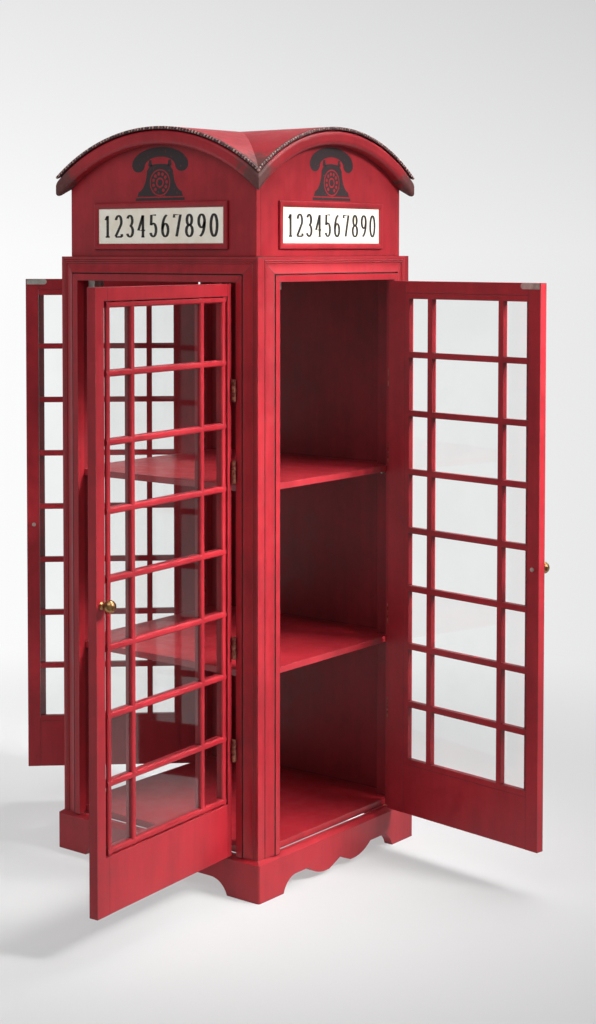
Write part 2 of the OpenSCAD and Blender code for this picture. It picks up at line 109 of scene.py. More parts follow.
class Shader:
    """Short calls for building the nodes of one material, or of the world when it is given."""

    def __init__(self, name, world=None):
        self.owner = world or bpy.data.materials.new(name)
        self.owner.use_nodes = True
        self.tree = self.owner.node_tree
        self.tree.nodes.clear()
        self.output = self.tree.nodes.new("ShaderNodeOutputWorld" if world else "ShaderNodeOutputMaterial")
        self.place = self.node("ShaderNodeTexCoord").outputs["Generated" if world else "Object"]

    def node(self, kind, settings=None, **inputs):
        made = self.tree.nodes.new(kind)
        for key, value in (settings or {}).items():
            setattr(made, key, value)
        for key, value in inputs.items():
            self.put(made.inputs[key.replace("_", " ")], value)
        return made

    def put(self, socket, value):
        if isinstance(value, bpy.types.NodeSocket):
            self.tree.links.new(value, socket)
        else:
            socket.default_value = value

    def math(self, operation, a, b=0.0, clamp=False):
        made = self.node("ShaderNodeMath", {"operation": operation, "use_clamp": clamp})
        self.put(made.inputs[0], a)
        self.put(made.inputs[1], b)
        return made.outputs[0]

    def dot(self, a, b):
        made = self.node("ShaderNodeVectorMath", {"operation": "DOT_PRODUCT"})
        self.put(made.inputs[0], a)
        self.put(made.inputs[1], b)
        return made.outputs["Value"]

    def stretch(self, scale):
        """The object's own place, stretched by a vector."""
        made = self.node("ShaderNodeMapping")
        self.put(made.inputs["Vector"], self.place)
        made.inputs["Scale"].default_value = scale
        return made.outputs[0]

    def noise(self, scale, detail=3.0, roughness=0.5, place=None, distortion=0.0):
        made = self.node("ShaderNodeTexNoise", Scale=scale, Detail=detail, Roughness=roughness,
                         Distortion=distortion)
        self.put(made.inputs["Vector"], place or self.place)
        return made.outputs["Fac"]

    def steps(self, value, low, high, to_low=0.0, to_high=1.0):
        made = self.node("ShaderNodeMapRange", {"interpolation_type": "SMOOTHSTEP"})
        for key, number in (("Value", value), ("From Min", low), ("From Max", high),
                            ("To Min", to_low), ("To Max", to_high)):
            self.put(made.inputs[key], number)
        return made.outputs["Result"]

    def mix(self, factor, a, b):
        made = self.node("ShaderNodeMix", {"data_type": "RGBA"})
        for index, value in ((0, factor), (6, a), (7, b)):
            self.put(made.inputs[index], value)
        return made.outputs[2]

    def bump(self, height, strength, distance):
        return self.node("ShaderNodeBump", Height=height, Strength=strength, Distance=distance).outputs[0]

    def axis(self, name):
        return self.node("ShaderNodeSeparateXYZ", Vector=self.place).outputs[name]

    def finish(self, shader):
        self.tree.links.new(shader, self.output.inputs["Surface"])
        return self.owner

    def blend(self, factor, first, second):
        """Mixes two shaders: the first at 0, the second at 1."""
        made = self.node("ShaderNodeMixShader", Fac=factor)
        self.tree.links.new(first.outputs[0], made.inputs[1])
        self.tree.links.new(second.outputs[0], made.inputs[2])
        return made.outputs[0]


def edge_mask(sh, radius):
    """1 on sharp outer and inner edges, 0 on flat faces, from how far the rounded normal leans."""
    rounded = sh.node("ShaderNodeBevel", {"samples": 4}, Radius=radius).outputs[0]
    flat = sh.node("ShaderNodeNewGeometry").outputs["True Normal"]
    return sh.math("SUBTRACT", 1.0, sh.dot(rounded, flat), clamp=True)


def paint_tone(sh, mottle):
    """How light the paint is in a place: broad clouds, a fine mottle and upright brush streaks."""
    cloud = sh.noise(5.0, 4.0, 0.55)
    streak = sh.noise(9.0, 3.0, 0.6, sh.stretch((6.0, 6.0, 0.7)))
    fine = sh.math("ADD", sh.math("MULTIPLY", mottle, 0.25), sh.math("MULTIPLY", streak, 0.25))
    return sh.math("ADD", sh.math("MULTIPLY", cloud, 0.5), fine)


def rubbed_edges(sh, grain):
    """1 where an edge is rubbed through, in broken patches along it."""
    patches = sh.noise(14.0, 3.0, 0.6)
    edge = edge_mask(sh, 3.0 * MM)
    reach = sh.math("ADD", sh.math("MULTIPLY", patches, 0.45), sh.math("MULTIPLY", grain, 0.35))
    rubbed = sh.steps(sh.math("ADD", sh.math("MULTIPLY", edge, 2.4), reach), 0.74, 0.98)
    return sh.math("MULTIPLY", rubbed, sh.steps(edge, 0.004, 0.05))


def dark_flecks(sh):
    """Small dark flecks, gathered in a few areas."""
    flecks = sh.math("MULTIPLY", sh.steps(sh.noise(210.0, 2.0, 0.5), 0.735, 0.77),
                     sh.steps(sh.noise(7.0, 2.0, 0.5), 0.5, 0.62))
    return sh.math("MULTIPLY", flecks, 0.8)


def worn_paint(name, light, deep, wear=1.0, corner_wear=False, gloss=0.34):
    """Satin red paint, mottled, with painted shade darkening its creases and inner corners, dark rubbed edges
    and small dark flecks.
    """
    sh = Shader(name)
    mottle = sh.noise(38.0, 5.0, 0.6)
    grain = sh.noise(160.0, 4.0, 0.65)
    dark = sh.math("MULTIPLY", sh.math("MAXIMUM", rubbed_edges(sh, grain), dark_flecks(sh)), wear)
    if corner_wear:
        dark = sh.math("MAXIMUM", dark, rim_corner_wear(sh, grain))

    colour = sh.mix(sh.steps(paint_tone(sh, mottle), 0.36, 0.64), deep, light)
    # Painted shade: creases and inner corners are darkened towards a deep red by ambient occlusion.
    shade = sh.node("ShaderNodeAmbientOcclusion", {"samples": 4, "only_local": False}, Distance=9 * MM)
    painted_crease_shade = sh.steps(shade.outputs["AO"], 0.2, 0.75, 0.45, 0.0)
    colour = sh.mix(painted_crease_shade, colour, srgb(38, 8, 12))
    colour = sh.mix(dark, colour, sh.mix(grain, srgb(46, 26, 26), srgb(98, 66, 62)))
    rough = sh.math("ADD", sh.steps(mottle, 0.3, 0.7, 0.34, 0.46), sh.math("MULTIPLY", dark, 0.25))
    height = sh.math("SUBTRACT", sh.math("MULTIPLY", sh.noise(300.0, 2.0, 0.5), 0.25),
                     sh.math("MULTIPLY", dark, 0.5))
    paint = sh.node("ShaderNodeBsdfPrincipled", Base_Color=colour, Roughness=rough,
                    Normal=sh.bump(height, 0.22, 0.5 * MM))
    paint.inputs["Specular IOR Level"].default_value = gloss
    return sh.finish(paint.outputs[0])


def rim_corner_wear(sh, grain):
    """Heavy dark rubbing where two roof rims meet, on the four corners."""
    across = sh.math("ABSOLUTE", sh.axis("X"))
    along = sh.math("ABSOLUTE", sh.axis("Y"))
    ragged = sh.math("MULTIPLY", sh.noise(45.0, 4.0, 0.7), 0.09)
    out = sh.math("ADD", sh.math("MINIMUM", across, along), ragged)
    return sh.steps(sh.math("ADD", out, sh.math("MULTIPLY", grain, 0.05)), 0.262, 0.298, 0.0, 0.9)


def bead_material(name, low, high):
    """Antiqued paint of the beaded rim, speckled by a fine noise from its dark to its pale colour; on the
    beads the pale speckles are partly rubbed paint and partly painted highlight.
    """
    sh = Shader(name)
    grain = sh.noise(240.0, 3.0, 0.6)
    colour = sh.mix(sh.steps(grain, 0.42, 0.6), low, high)
    rough = sh.steps(grain, 0.3, 0.7, 0.35, 0.6)
    paint = sh.node("ShaderNodeBsdfPrincipled", Base_Color=colour, Roughness=rough,
                    Normal=sh.bump(grain, 0.3, 0.4 * MM))
    return sh.finish(paint.outputs[0])


def cream_material():
    """Cream painted sign plate, faintly mottled and yellowed towards its edge."""
    sh = Shader("cream_plate_paint")
    cloud = sh.noise(24.0, 4.0, 0.6)
    edge = edge_mask(sh, 3.0 * MM)
    colour = sh.mix(sh.steps(cloud, 0.3, 0.7), srgb(228, 220, 202), srgb(240, 236, 224))
    colour = sh.mix(sh.steps(edge, 0.02, 0.3, 0.0, 0.6), colour, srgb(150, 118, 92))
    rough = sh.steps(cloud, 0.3, 0.7, 0.4, 0.55)
    paint = sh.node("ShaderNodeBsdfPrincipled", Base_Color=colour, Roughness=rough,
                    Normal=sh.bump(sh.noise(260.0), 0.08, 0.3 * MM))
    return sh.finish(paint.outputs[0])


def print_material(name, ink, worn, low, high):
    """Printed ink that is rubbed thin in small specks."""
    sh = Shader(name)
    rub = sh.steps(sh.noise(190.0, 4.0, 0.65), low, high)
    colour = sh.mix(rub, ink, worn)
    rough = sh.steps(rub, 0.0, 1.0, 0.5, 0.4)
    paint = sh.node("ShaderNodeBsdfPrincipled", Base_Color=colour, Roughness=rough,
                    Normal=sh.bump(rub, 0.1, 0.2 * MM))
    return sh.finish(paint.outputs[0])


def brass_material(name, scale, blotch, dark, light, rough, metallic):
    """Aged brass, darkened in blotches that run from dark to light over the blotch range.

    Rough holds the roughness of the dark and the light blotches."""
    sh = Shader(name)
    cloud = sh.noise(scale, 4.0, 0.65)
    colour = sh.mix(sh.steps(cloud, *blotch), dark, light)
    roughness = sh.steps(cloud, 0.3, 0.7, *rough)
    metal = sh.node("ShaderNodeBsdfPrincipled", Base_Color=colour, Roughness=roughness,
                    Normal=sh.bump(sh.noise(500.0, 2.0), 0.06, 0.2 * MM))
    metal.inputs["Metallic"].default_value = metallic
    return sh.finish(metal.outputs[0])


def steel_material():
    """Dull zinc-plated steel with fine drawn lines."""
    sh = Shader("zinc_plated_steel")
    lines = sh.noise(420.0, 3.0, 0.6, sh.stretch((1.0, 1.0, 12.0)))
    cloud = sh.noise(60.0, 3.0, 0.6)
    colour = sh.mix(sh.steps(cloud, 0.3, 0.7), srgb(150, 150, 142), srgb(196, 196, 188))
    roughness = sh.steps(lines, 0.3, 0.7, 0.3, 0.5)
    metal = sh.node("ShaderNodeBsdfPrincipled", Base_Color=colour, Roughness=roughness,
                    Normal=sh.bump(lines, 0.08, 0.2 * MM))
    metal.inputs["Metallic"].default_value = 1.0
    return sh.finish(metal.outputs[0])


def bare_wood_material():
    """Unfinished softwood with its grain along the long way."""
    sh = Shader("bare_wood_grain")
    rings = sh.noise(60.0, 5.0, 0.6, sh.stretch((1.0, 1.0, 0.08)), 1.5)
    colour = sh.mix(sh.steps(rings, 0.35, 0.65), srgb(150, 112, 74), srgb(196, 158, 112))
    rough = sh.steps(rings, 0.3, 0.7, 0.6, 0.8)
    wood = sh.node("ShaderNodeBsdfPrincipled", Base_Color=colour, Roughness=rough,
                   Normal=sh.bump(rings, 0.2, 0.4 * MM))
    return sh.finish(wood.outputs[0])


def glass_material():
    """Thin clear pane: the front surface mirrors by angle, and the rest is seen through."""
    sh = Shader("clear_pane_glass")
    smear = sh.noise(7.0, 4.0, 0.6)
    fresnel = sh.node("ShaderNodeFresnel", IOR=1.5).outputs[0]
    backface = sh.node("ShaderNodeNewGeometry").outputs["Backfacing"]
    front = sh.math("SUBTRACT", 1.0, backface)
    mirror = sh.math("MULTIPLY", sh.math("MULTIPLY", fresnel, 1.7), front, clamp=True)
    tint = sh.mix(sh.steps(smear, 0.3, 0.7), (0.965, 0.975, 0.97, 1.0), (0.985, 0.99, 0.988, 1.0))
    clear = sh.node("ShaderNodeBsdfTransparent", Color=tint)
    gloss = sh.node("ShaderNodeBsdfGlossy", Roughness=sh.steps(smear, 0.3, 0.7, 0.02, 0.06))
    return sh.finish(sh.blend(mirror, clear, gloss))


RED_LIGHT, RED_DEEP = (0.335, 0.0145, 0.0225, 1.0), (0.225, 0.0085, 0.0145, 1.0)
RED = worn_paint("worn_red_paint", RED_LIGHT, RED_DEEP)
RIM_RED = worn_paint("rim_red_paint", RED_LIGHT, RED_DEEP, 1.0, True)
ROOF_RED = worn_paint("roof_red_paint", RED_LIGHT, RED_DEEP, 0.8, True, 0.14)
SHELF_RED = worn_paint("shelf_red_paint", RED_LIGHT, RED_DEEP, 0.6, False, 0.6)
# The inside's red is the outside paint made darker: painted shade for the dim inside of the cabinet.
SHADED_INNER_RED = worn_paint("inner_red_paint_painted_shade", (0.22, 0.0095, 0.015, 1.0), (0.14, 0.0052, 0.0092, 1.0), 0.6)
HINGE = brass_material("dull_hinge_brass", 150.0, (0.38, 0.64), srgb(92, 40, 36), srgb(150, 104, 84),
                       (0.55, 0.35), 0.8)
# Pale bead speckles: partly rubbed paint, partly painted highlight.
BEAD = bead_material("bead_paint_rubbed_and_painted_highlight", srgb(84, 40, 42), srgb(190, 150, 142))
BEAD_STRIP = bead_material("dark_strip_paint", srgb(34, 20, 22), srgb(72, 40, 42))
CREAM = cream_material()
BRASS = brass_material("aged_brass_metal", 120.0, (0.36, 0.66), srgb(96, 66, 44), srgb(178, 140, 92),
                       (0.44, 0.26), 1.0)
STEEL = steel_material()
WOOD = bare_wood_material()
GLASS = glass_material()
DIGIT_INK = print_material("digit_ink", srgb(26, 24, 22), srgb(74, 68, 62), 0.62, 0.72)
EMBLEM_INK = print_material("emblem_ink", srgb(34, 17, 22), (0.15, 0.008, 0.013, 1.0), 0.6, 0.7)


# ---------- boards with eased edges ----------

def eased(node, material, body):
    """Stands for a CAD board: the same solids with their sharp edges eased by a small bevel."""
    ease_w, sharpest = 0.7 * MM, math.radians(38)
    bm = bmesh.new()
    bm.from_mesh(NODES[node].data)
    bmesh.ops.remove_doubles(bm, verts=bm.verts, dist=0.01 * MM)
    bmesh.ops.dissolve_limit(bm, angle_limit=math.radians(0.5), verts=bm.verts, edges=bm.edges)
    obj = bpy.data.objects.new(node + "_scratch", mesh_from(bm, node + "_scratch"))
    bpy.context.scene.collection.objects.link(obj)
    bevel = obj.modifiers.new("ease", "BEVEL")
    bevel.width = ease_w
    bevel.segments = 2
    bevel.limit_method = "ANGLE"
    bevel.angle_limit = sharpest
    bevel.harden_normals = False
    mesh = applied(obj)
    bpy.data.objects.remove(obj)
    piece = add_object(node + "_eased", smooth(mesh, BOARD_SMOOTH), material, body)
    piece.modifiers.new("even_shading", "WEIGHTED_NORMAL").keep_sharp = True
    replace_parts(piece, node)


def paint_node(node, material):
    """A CAD node whose shape is right: it only gets its material."""
    mesh = NODES[node].data
    mesh.materials.clear()
    mesh.materials.append(material)


# ---------- glazing ----------

def tube_of_section(bm, section, start, end, across):
    """Closed bar: a section in (across, depth) swept from start to end. Depth is at right angles to both."""
    way = (end - start).normalized()
    depth = way.cross(across).normalized()
    rings = []
    for point in (start, end):
        rings.append([bm.verts.new(point + across * a + depth * d) for a, d in section])
    count = len(section)
    for i in range(count):
        j = (i + 1) % count
        bm.faces.new((rings[0][i], rings[0][j], rings[1][j], rings[1][i]))
    bm.faces.new(rings[0])
    bm.faces.new(reversed(rings[1]))


def bar_section(width, depth, rounding, steps=6):
    """Glazing bar: flat back, and a front with both corners rounded over. Depth runs from the front."""
    points = [(-width / 2, depth), (width / 2, depth)]
    for side in (1, -1):
        centre = side * (width / 2 - rounding)
        turns = [math.pi / 2 * k / steps for k in range(steps + 1)]
        corner = [(centre + side * rounding * math.cos(t), rounding - rounding * math.sin(t)) for t in turns]
        points += corner if side == 1 else corner[::-1]
    return points


def boolean_union(mesh_a, mesh_b, name):
    """One closed mesh from two sets of crossing bars."""
    objects = []
    for tag, mesh in (("a", mesh_a), ("b", mesh_b)):
        obj = bpy.data.objects.new(name + tag, mesh)
        bpy.context.scene.collection.objects.link(obj)
        objects.append(obj)
    union = objects[0].modifiers.new("union", "BOOLEAN")
    union.operation = "UNION"
    union.solver = "EXACT"
    union.object = objects[1]
    bpy.context.view_layer.update()
    mesh = applied(objects[0])
    for obj in objects:
        bpy.data.objects.remove(obj)
    return mesh


def middle_of(mesh):
    """Mean place of a mesh's vertices."""
    return sum((v.co for v in mesh.vertices), Vector()) / len(mesh.vertices)


def door_axes(side):
    """The door's way from hinge to free edge, and its outward normal, at rest."""
    glass = NODES[side + "_door_glass"].data
    middle = middle_of(glass)
    hinge = next(j for j in frame["joints"] if j["child"] == side + "_door")
    normal = max(glass.polygons, key=lambda p: p.area).normal.copy()
    normal.z = 0
    normal.normalize()
    way = normal.cross(UP)
    if way.dot(middle - Vector(hinge["pos_m"])) < 0:
        way = -way
    if (middle_of(NODES[side + "_door_lattice"].data) - middle).dot(normal) < 0:
        normal = -normal
    return way, normal


def span(mesh, axis):
    """Lowest and highest reach of a mesh along an axis."""
    reach = [v.co.dot(axis) for v in mesh.vertices]
    return min(reach), max(reach)


def door_lattice(side, material):
    """Glazing bars with rounded fronts that meet in clean mitres, in place of the CAD's butted bars.

    They are as deep as the door, but the bar beside the free stile is only a thin slip."""
    rows, bar_w, rounding, narrow, slip_d = 8, 11.2 * MM, 4.5 * MM, 0.184, 5.0 * MM
    hidden_gap, end_lap = 0.05 * MM, 0.02 * bar_w
    way, normal = door_axes(side)
    mesh = NODES[side + "_door_lattice"].data
    near, far = span(mesh, way)
    _, front = span(mesh, normal)
    door_back, _ = span(NODES[side + "_door_stiles"].data, normal)
    low, high = span(mesh, UP)
    deep = bar_section(bar_w, front - door_back - hidden_gap, rounding)
    slip = bar_section(bar_w, slip_d, rounding)

    def at(u, z):
        return way * u + normal * front + UP * z

    first, last = near + bar_w / 2, far - bar_w / 2
    step = narrow * (last - first - 3 * bar_w) + bar_w
    uprights, crosses = bmesh.new(), bmesh.new()
    for u, section in ((first, deep), (first + step, deep), (last - step, deep), (last, slip)):
        tube_of_section(uprights, section, at(u, low), at(u, high), way_across(way, normal, True))
    for row in range(rows + 1):
        z = low + bar_w / 2 + (high - low - bar_w) * row / rows
        tube_of_section(crosses, deep, at(near + end_lap, z), at(far - end_lap, z),
                        way_across(way, normal, False))
    joined = boolean_union(mesh_from(uprights, "up"), mesh_from(crosses, "cross"), side + "_bars")
    smooth(joined, BOARD_SMOOTH)
    piece = add_object(side + "_door_glazing_bars", joined, material, side + "_door")
    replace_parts(piece, side + "_door_lattice")


def door_pane(side):
    """The sheet of glass, let into the middle of the bars."""
    way, normal = door_axes(side)
    mesh = NODES[side + "_door_glass"].data
    near, far = span(mesh, way)
    low, high = span(mesh, UP)
    _, bar_front = span(NODES[side + "_door_lattice"].data, normal)
    outer, thick = bar_front - 5.3 * MM, 2.9 * MM
    bm = bmesh.new()
    corners = []
    for v in (outer, outer - thick):
        corners.append([bm.verts.new(way * u + normal * v + Vector((0, 0, z)))
                        for u, z in ((near, low), (far, low), (far, high), (near, high))])
    bm.faces.new(corners[0])
    bm.faces.new(reversed(corners[1]))
    for i in range(4):
        j = (i + 1) % 4
        bm.faces.new((corners[0][i], corners[1][i], corners[1][j], corners[0][j]))
    pane = mesh_from(bm, side + "_door_pane")
    piece = add_object(side + "_door_pane", pane, GLASS, side + "_door")
    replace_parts(piece, side + "_door_glass")


def way_across(way, normal, upright):
    """The across vector that makes a bar's depth run inward, away from the door's outer face."""
    run, across = (UP, way) if upright else (way, UP)
    if run.cross(across).dot(normal) > 0:
        across = -across
    return across


# ---------- roof rim ----------

def rim_beads(face, index):
    """String of beads along a roof rim and the strip behind them, in place of the CAD's plain strip."""
    _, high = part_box("roof_bead_strips")
    reach = high.x
    pitch, height, thick = 7.4 * MM, 6.4 * MM, 4.0 * MM
    outer_r = 404.5 * MM
    arc_z = high.z - outer_r
    mid_r = outer_r - height / 2
    half_angle = math.asin((reach - 1.2 * MM) / mid_r)
    count = round(2 * half_angle * mid_r / pitch)
    bm = bmesh.new()
    for i in range(count + 1):
        angle = -half_angle + 2 * half_angle * i / count
        centre = Vector((mid_r * math.sin(angle), -reach + thick / 2, arc_z + mid_r * math.cos(angle)))
        lean = Matrix.Rotation(angle, 4, "Y") @ Matrix.Rotation(math.radians(24), 4, "Y")
        shape = Matrix.Diagonal((pitch * 0.36, thick / 2, height * 0.44, 1.0))
        bmesh.ops.create_uvsphere(bm, u_segments=10, v_segments=7, radius=1.0,
                                  matrix=Matrix.Translation(centre) @ lean @ shape)
    strip = bmesh.new()
    band_of_arc(strip, mid_r - 2.9 * MM, mid_r + 2.2 * MM, -reach + 1.1 * MM, -reach + thick,
                arc_z, half_angle)
    for made in (bm, strip):
        made.transform(face_matrix(index))
    return (smooth(mesh_from(bm, face + "_rim_beads"), BEAD_SMOOTH),
            smooth(mesh_from(strip, face + "_rim_strip"), BEAD_SMOOTH))


def band_of_arc(bm, low_r, high_r, y0, y1, arc_z, half_angle, steps=64):
    """Closed curved strip behind the beads."""
    rings = []
    for k in range(steps + 1):
        angle = -half_angle + 2 * half_angle * k / steps
        s, c = math.sin(angle), math.cos(angle)
        rings.append([bm.verts.new((r * s, y, arc_z + r * c))
                      for r, y in ((low_r, y0), (high_r, y0), (high_r, y1), (low_r, y1))])
    for a, b in zip(rings, rings[1:]):
        for i in range(4):
            j = (i + 1) % 4
            bm.faces.new((a[i], a[j], b[j], b[i]))
    bm.faces.new(rings[0])
    bm.faces.new(reversed(rings[-1]))


def make_rim_beads():
    for face, index in RIM_FACES.items():
        beads, strip = rim_beads(face, index)
        for name, mesh, paint in (("_rim_beads", beads, BEAD), ("_rim_strip", strip, BEAD_STRIP)):
            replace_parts(add_object(face + name, mesh, paint, "cabinet"), "roof_bead_strips")


# ---------- signs ----------

def arc(cx, cy, rx, ry, start, end, steps=18):
    turns = [math.radians(start + (end - start) * k / steps) for k in range(steps + 1)]
    return [(cx + rx * math.cos(t), cy + ry * math.sin(t)) for t in turns]


def numeral_strokes(digit):
    """Pen strokes of a numeral in a box one unit wide and one unit high."""
    six = [arc(0.5, 0.3, 0.36, 0.3, 0, 360, 30), arc(0.8, 0.34, 0.66, 0.66, 180, 98)]
    strokes = {
        1: [[(0.55, 0.0), (0.55, 1.0)], [(0.55, 0.98), (0.28, 0.8)], [(0.28, 0.0), (0.82, 0.0)]],
        2: [arc(0.5, 0.72, 0.36, 0.28, 165, -35) + [(0.1, 0.02)], [(0.08, 0.0), (0.92, 0.0)],
            [(0.92, 0.0), (0.92, 0.13)]],
        3: [arc(0.47, 0.755, 0.32, 0.245, 155, -90), arc(0.47, 0.26, 0.38, 0.26, 90, -155)],
        4: [[(0.66, 0.0), (0.66, 1.0)], [(0.66, 1.0), (0.08, 0.3), (0.94, 0.3)], [(0.46, 0.0), (0.86, 0.0)]],
        5: [[(0.84, 1.0), (0.24, 1.0), (0.2, 0.53)], arc(0.47, 0.31, 0.37, 0.31, 135, -155)],
        6: six,
        7: [[(0.1, 0.87), (0.1, 1.0), (0.9, 1.0), (0.42, 0.0)]],
        8: [arc(0.5, 0.755, 0.3, 0.245, 0, 360, 30), arc(0.5, 0.26, 0.38, 0.26, 0, 360, 30)],
        9: [[(1 - x, 1 - y) for x, y in stroke] for stroke in six],
        0: [arc(0.5, 0.5, 0.38, 0.5, 0, 360, 40)],
    }
    return strokes[digit]


def add_stroke(bm, points, place, thick):
    """Ribbon along points with a broad pen: wide on uprights, thin on level strokes.

    Place turns a point of the numeral's unit box into (x, z) on the sign."""
    pen_x, pen_z = 3.3 * MM, 1.5 * MM
    closed = (Vector(points[0]) - Vector(points[-1])).length < 1e-6
    points = [Vector(place(*p)) for p in (points[:-1] if closed else points)]
    count = len(points)
    left, right = [], []
    for i, point in enumerate(points):
        before = points[i - 1] if closed or i else points[i]
        after = points[(i + 1) % count] if closed or i < count - 1 else points[i]
        way = (after - before).normalized()
        side = Vector((-way.y, way.x))
        weight = math.hypot(pen_x * side.x, pen_z * side.y)
        offset = Vector((pen_x ** 2 * side.x, pen_z ** 2 * side.y)) / weight
        left.append(point + offset)
        right.append(point - offset)
    layers = []
    for depth in (0.0, -thick):
        layers.append([[bm.verts.new((p.x, depth, p.y)) for p in line] for line in (left, right)])
    (l0, r0), (l1, r1) = layers
    for i in range(count if closed else count - 1):
        j = (i + 1) % count
        bm.faces.new((l0[i], l0[j], r0[j], r0[i]))
        bm.faces.new((l1[j], l1[i], r1[i], r1[j]))
        bm.faces.new((l0[j], l0[i], l1[i], l1[j]))
        bm.faces.new((r0[i], r0[j], r1[j], r1[i]))
    if not closed:
        for i in (0, count - 1):
            bm.faces.new((l0[i], r0[i], r1[i], l1[i]))


def sign_numerals(face, index):
    """The ten figures of a telephone dial, printed in a row on a sign plate."""
    low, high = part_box("sign_plates")
    plate_y = low.y
    mid_z = (low.z + high.z) / 2
    zone_w, zone_h, thick = 292 * MM, 40 * MM, 0.12 * MM
    digits = (1, 2, 3, 4, 5, 6, 7, 8, 9, 0)
    pitch = zone_w / len(digits)
    width = pitch * 0.66
    bm = bmesh.new()
    for i, digit in enumerate(digits):
        start = -zone_w / 2 + pitch * (i + 0.5) - width / 2

        def place(x, y, start=start):
            return (start + x * width, mid_z - zone_h / 2 + y * zone_h)

        for stroke in numeral_strokes(digit):
            add_stroke(bm, stroke, place, thick)
    bm.transform(face_matrix(index) @ Matrix.Translation((0, plate_y, 0)))
    return mesh_from(bm, face + "_sign_numerals")


def outline_mesh(name, outlines, thick):
    """Flat shape from nested outlines in (x, z), with every second one a hole."""
    curve = bpy.data.curves.new(name, "CURVE")
    curve.dimensions = "2D"
    curve.fill_mode = "BOTH"
    curve.extrude = thick / 2
    for outline in outlines:
        spline = curve.splines.new("POLY")
        spline.points.add(len(outline) - 1)
        for point, (x, z) in zip(spline.points, outline):
            point.co = (x, z, 0, 1)
        spline.use_cyclic_u = True
    obj = bpy.data.objects.new(name, curve)
    bpy.context.scene.collection.objects.link(obj)
    mesh = applied(obj)
    bpy.data.objects.remove(obj)
    bm = bmesh.new()
    bm.from_mesh(mesh)
    bmesh.ops.remove_doubles(bm, verts=bm.verts, dist=0.001 * MM)
    bm.transform(Matrix.Rotation(math.radians(90), 4, "X"))
    return mesh_from(bm, name)


def telephone_outlines():
    """A desk telephone seen from the front: handset on its rest, body, and a dial with ten holes."""
    def mm(points):
        return [(x * MM, z * MM) for x, z in points]

    def circle(cx, cz, r, steps=28):
        return arc(cx, cz, r, r, 0, 360 - 360 / steps, steps - 1)

    dial_z, hole_ring = 33, 16.5
    foot = [(-60, 0), (60, 0), (60, 5), (-60, 5)]
    body = ([(-56, 7.5), (56, 7.5)] + arc(56, 58, 24, 42, 262, 184, 10) + arc(0, 62, 27, 6, 0, 180, 10)
            + arc(-56, 58, 24, 42, 356, 278, 10))
    dial = [circle(0, dial_z, 25, 40), circle(0, dial_z, 22.6, 40)]
    holes = [circle(*arc(0, dial_z, hole_ring, hole_ring, a, a, 1)[0], 3.3, 14)
             for a in range(-60, 262, 32)][:10]
    hub = [circle(0, dial_z, 9.5, 24), circle(0, dial_z, 6.4, 24)]
    rests = [[(s * 19, 64), (s * 29, 64), (s * 27, 75), (s * 21, 75)] for s in (-1, 1)]
    handset = (arc(0, 66, 69, 33, 172, 8, 30) + arc(53, 66, 16, 13, 0, -180, 10)
               + arc(0, 64, 37, 17, 12, 168, 16) + arc(-53, 66, 16, 13, 0, -180, 10))
    return [[mm(foot)], [mm(body), *map(mm, dial), *map(mm, holes), *map(mm, hub)],
            [mm(rests[0])], [mm(rests[1])], [mm(handset)]]


def sign_emblem(face, index):
    """Black printed telephone over the sign."""
    box_low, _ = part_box("front_tympanum")
    sign_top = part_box("sign_frames")[1].z
    thick = 0.12 * MM
    bm = bmesh.new()
    for number, part in enumerate(telephone_outlines()):
        bm.from_mesh(outline_mesh(f"{face}_part_{number}", part, thick))
    bm.transform(face_matrix(index) @ Matrix.Translation((0, box_low.y - thick / 2, sign_top + 3.0 * MM)))
    return mesh_from(bm, face + "_sign_emblem")


def make_signs():
    for face, index in SIGN_FACES.items():
        add_object(face + "_sign_numerals", sign_numerals(face, index), DIGIT_INK, "cabinet")
        add_object(face + "_sign_emblem", sign_emblem(face, index), EMBLEM_INK, "cabinet")


# ---------- small hardware ----------

def lathe(profile, steps=48):
    """Closed body turned about Z from (radius, height) points that start and end on the axis."""
    bm = bmesh.new()
    rings = []
    turns = [2 * math.pi * k / steps for k in range(steps)]
    for r, z in profile[1:-1]:
        rings.append([bm.verts.new((r * math.cos(t), r * math.sin(t), z)) for t in turns])
    ends = [bm.verts.new((0, 0, profile[0][1])), bm.verts.new((0, 0, profile[-1][1]))]
    for a, b in zip(rings, rings[1:]):
        for k in range(steps):
            j = (k + 1) % steps
            bm.faces.new((a[k], a[j], b[j], b[k]))
    for end, ring in zip(ends, (rings[0], rings[-1])):
        for k in range(steps):
            bm.faces.new((end, ring[k], ring[(k + 1) % steps]))
    return bm


def door_knob(side):
    """Ball knob with a stepped rosette, a waisted neck and a slightly flattened ball."""
    way, normal = door_axes(side)
    mesh = NODES[side + "_door_knob"].data
    back, front = span(mesh, normal)
    near, far = span(mesh, way)
    low, high = span(mesh, UP)
    ball_r = (far - near) / 2
    length = front - back
    ball = [(ball_r * math.cos(t), length - ball_r + ball_r * 0.98 * math.sin(t))
            for t in [math.radians(-62 + 150 * k / 22) for k in range(23)]]
    profile = [(0, 0), (6.8 * MM, 0), (7.0 * MM, 0.6 * MM), (6.4 * MM, 1.3 * MM), (5.2 * MM, 1.5 * MM),
               (4.4 * MM, 2.1 * MM), (3.7 * MM, 3.4 * MM), (3.6 * MM, 4.6 * MM), (4.2 * MM, 5.6 * MM)]
    bm = lathe(profile + ball + [(0, length)])
    centre = way * ((near + far) / 2) + normal * back + UP * ((low + high) / 2)
    turn = normal.to_track_quat("Z", "Y").to_matrix().to_4x4()
    bm.transform(Matrix.Translation(centre) @ turn)
    knob = smooth(mesh_from(bm, side + "_ball_knob"), SMALL_SMOOTH)
    piece = add_object(side + "_door_ball_knob", knob, BRASS, side + "_door")
    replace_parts(piece, side + "_door_knob")


